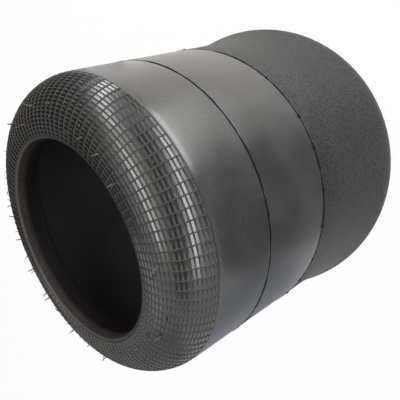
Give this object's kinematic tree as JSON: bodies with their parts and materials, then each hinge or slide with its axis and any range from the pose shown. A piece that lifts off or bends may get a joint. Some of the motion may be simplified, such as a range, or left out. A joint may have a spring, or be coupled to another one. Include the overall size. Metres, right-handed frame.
{
  "type": "air spring bellows",
  "caption": "Tapered rubber rolling-lobe air spring sleeve with round shoulders, a ribbed narrow shoulder, and a wire bead seat at each open end.",
  "frame": {"origin": "on the sleeve's axis, in the plane of the flat ring that the wide end stands on", "axes": "+Z along the sleeve's axis from the wide lower end to the narrow ribbed upper end; X and Y are any two directions across it, because every piece is round"},
  "size_m": [0.276, 0.276, 0.2403],
  "materials": {
    "cover_rubber": "moulded black chloroprene, satin on the taper and glossy in the shoulder pockets",
    "cord_ply": "calendered nylon cord ply in rubber",
    "liner_rubber": "smooth matte black liner",
    "bead_steel": "bronze-coated bead wire",
    "core_rubber": "hard bead rubber",
    "wrap_tape": "square-woven rubberised tape",
    "chafer_fabric": "rubberised chafer fabric",
    "seat_rubber": "ground brownish-grey bead rubber"
  },
  "bodies": {
    "lower_end": {"outer_cover": "cover_rubber", "outer_cord_ply": "cord_ply", "inner_cord_ply": "cord_ply", "inner_liner": "liner_rubber", "lower_bead_wires": "bead_steel", "lower_bead_insulation": "core_rubber", "lower_bead_wrap": "wrap_tape", "lower_bead_filler": "core_rubber", "lower_bead_chafer": "chafer_fabric", "lower_bead_seat": "seat_rubber"},
    "upper_end": {"upper_bead_wires": "bead_steel", "upper_bead_insulation": "core_rubber", "upper_bead_wrap": "wrap_tape", "upper_bead_filler": "core_rubber", "upper_bead_chafer": "chafer_fabric", "upper_bead_seat": "seat_rubber", "shoulder_cross_ribs": "cover_rubber"}
  },
  "joints": [
    {"name": "axial_stroke", "type": "slide", "parent": "lower_end", "child": "upper_end", "axis": [0, 0, 1], "range_m": [-0.045, 0.01], "stiffness_N_per_m": 3000, "deforming": ["outer_cover", "outer_cord_ply", "inner_cord_ply", "inner_liner"]}
  ]
}
